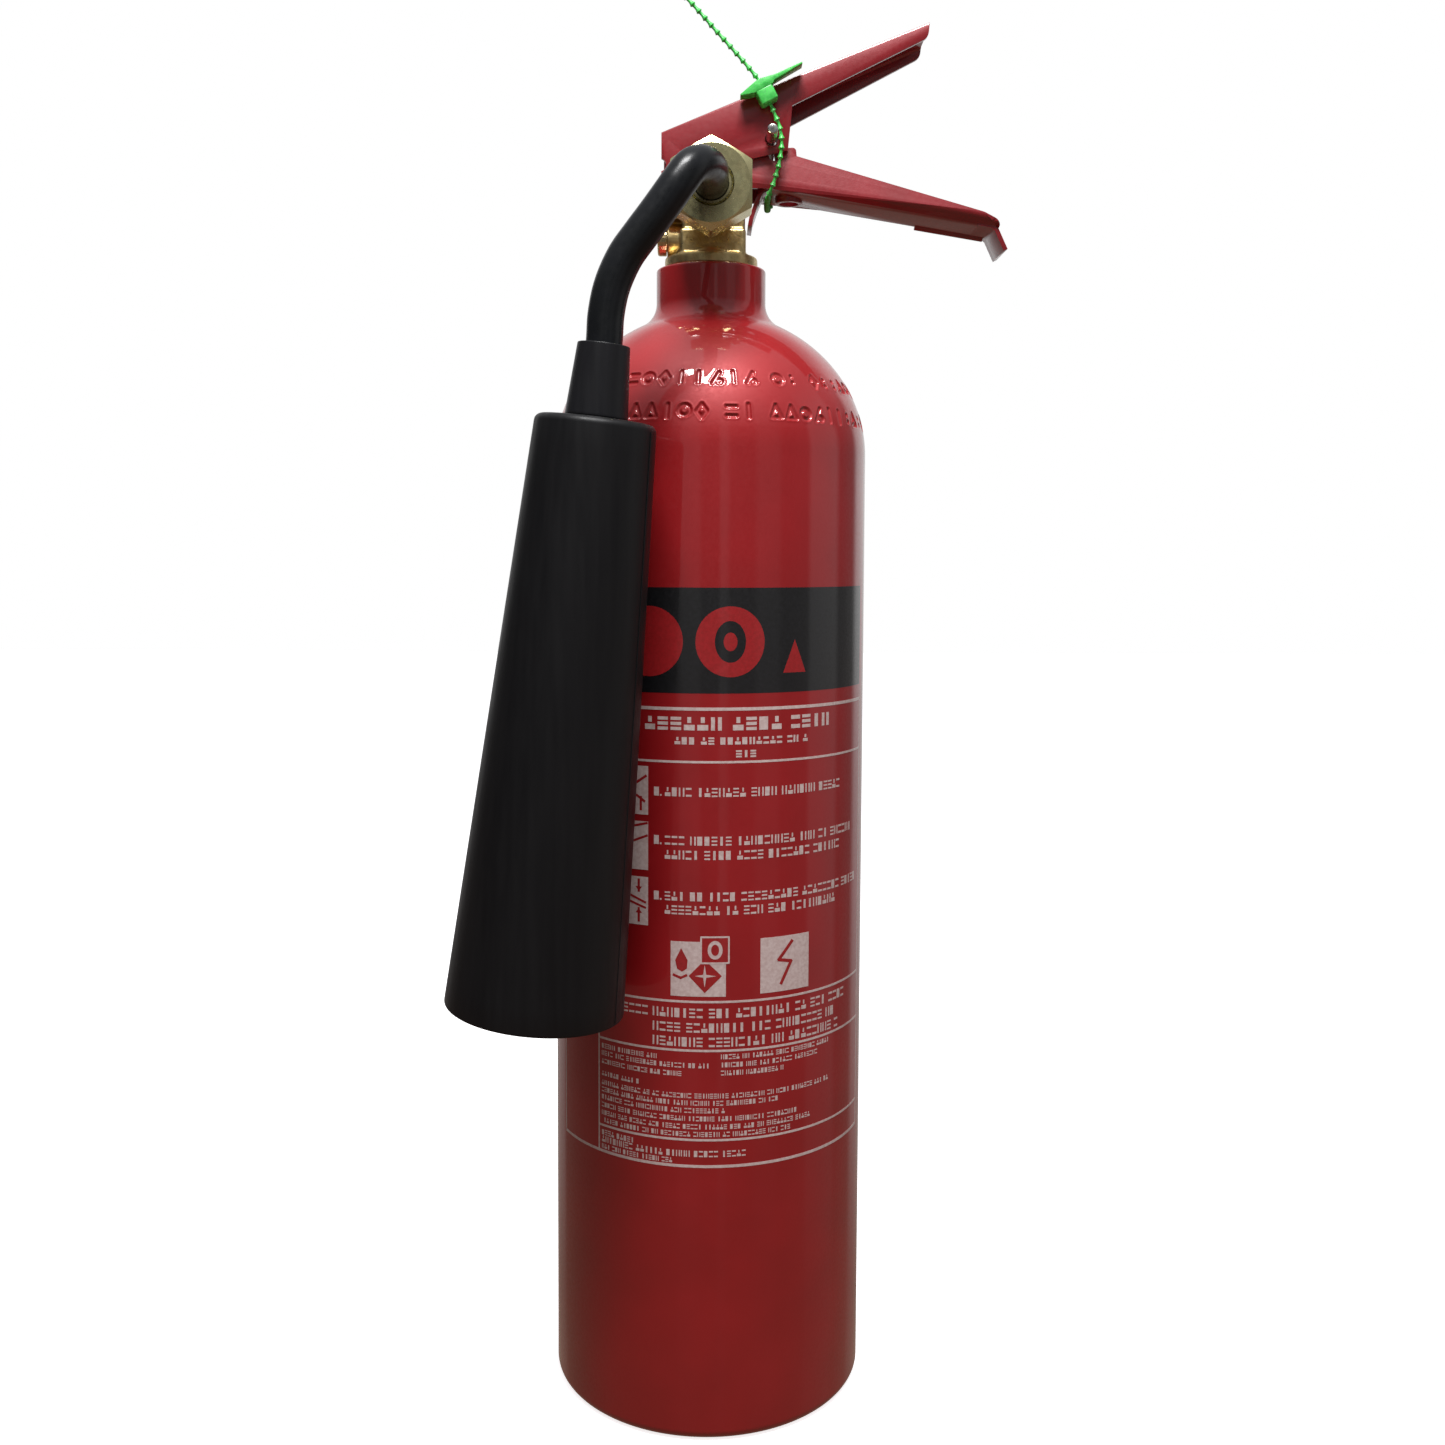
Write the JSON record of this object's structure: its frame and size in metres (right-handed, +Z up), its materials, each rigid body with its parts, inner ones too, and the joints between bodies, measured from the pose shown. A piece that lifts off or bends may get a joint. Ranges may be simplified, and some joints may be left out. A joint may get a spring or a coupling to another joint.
{
  "type": "fire extinguisher",
  "caption": "Portable carbon dioxide fire extinguisher: red gas cylinder, brass squeeze valve with carry handle and lever, and a discharge horn on a swivelling bent tube.",
  "frame": {"origin": "centre of the cylinder's flat base", "axes": "+Z up along the cylinder, +X along the carry handle towards its tip, and the discharge horn hangs on the -Y side"},
  "size_m": [0.1979, 0.1632, 0.5208],
  "materials": {
    "red_gloss_paint_on_alloy": "gloss",
    "red_satin_paint": "satin",
    "black_satin_paint": "satin",
    "cast_brass": "satin",
    "turned_brass": "polished",
    "copper": "satin",
    "yellow_zinc_plate": "satin",
    "steel": "satin",
    "plain_aluminium": "satin",
    "black_plastic": "matte",
    "black_rubber": "matte",
    "white_nylon": "satin",
    "green_plastic": "gloss"
  },
  "bodies": {
    "cylinder_and_valve": {"cylinder": "red_gloss_paint_on_alloy", "neck_seal": "black_rubber", "valve_body": "cast_brass", "stem_gland": "turned_brass", "stem_seal": "black_rubber", "return_spring": "steel", "spring_retainer": "turned_brass", "dip_tube": "plain_aluminium", "burst_disc": "copper", "burst_disc_washer": "steel", "burst_disc_plug": "turned_brass", "swivel_nut": "yellow_zinc_plate", "swivel_seal": "white_nylon", "carry_handle": "red_satin_paint", "lever_rivet": "steel", "handle_pin": "steel"},
    "lever": {"squeeze_lever": "red_satin_paint", "tamper_seal": "green_plastic"},
    "stem": {"valve_stem": "steel", "valve_poppet": "white_nylon"},
    "discharge_horn": {"tube_ferrule": "steel", "discharge_tube": "black_satin_paint", "horn_collar": "black_plastic", "gas_jet": "turned_brass", "horn": "black_plastic"},
    "pin": {"safety_pin": "steel"},
    "ring": {"pull_ring": "steel"}
  },
  "joints": [
    {"name": "lever_pivot", "type": "hinge", "parent": "cylinder_and_valve", "child": "lever", "pos_m": [-0.0125, 0, 0.4545], "axis": [0, 1, 0], "range_deg": [0, 8], "stiffness_Nm_per_rad": 6, "springref_deg": -5.73},
    {"name": "stem_slide", "type": "slide", "parent": "cylinder_and_valve", "child": "stem", "axis": [0, 0, -1], "range_m": [0, 0.0027], "deforming": ["return_spring"]},
    {"name": "horn_swivel", "type": "hinge", "parent": "cylinder_and_valve", "child": "discharge_horn", "pos_m": [0, -0.042, 0.4443], "axis": [0, 1, 0], "range_deg": [0, 180]},
    {"name": "pin_pull", "type": "slide", "parent": "lever", "child": "pin", "axis": [0, 1, 0], "range_m": [0, 0.05]},
    {"name": "ring_swing", "type": "hinge", "parent": "pin", "child": "ring", "pos_m": [0.0218, 0.0238, 0.4665], "axis": [0, 0, -1], "range_deg": [-5, 90]}
  ],
  "couplings": [
    {"joint": "stem_slide", "follows": "lever_pivot", "m_per_rad": 0.019}
  ]
}
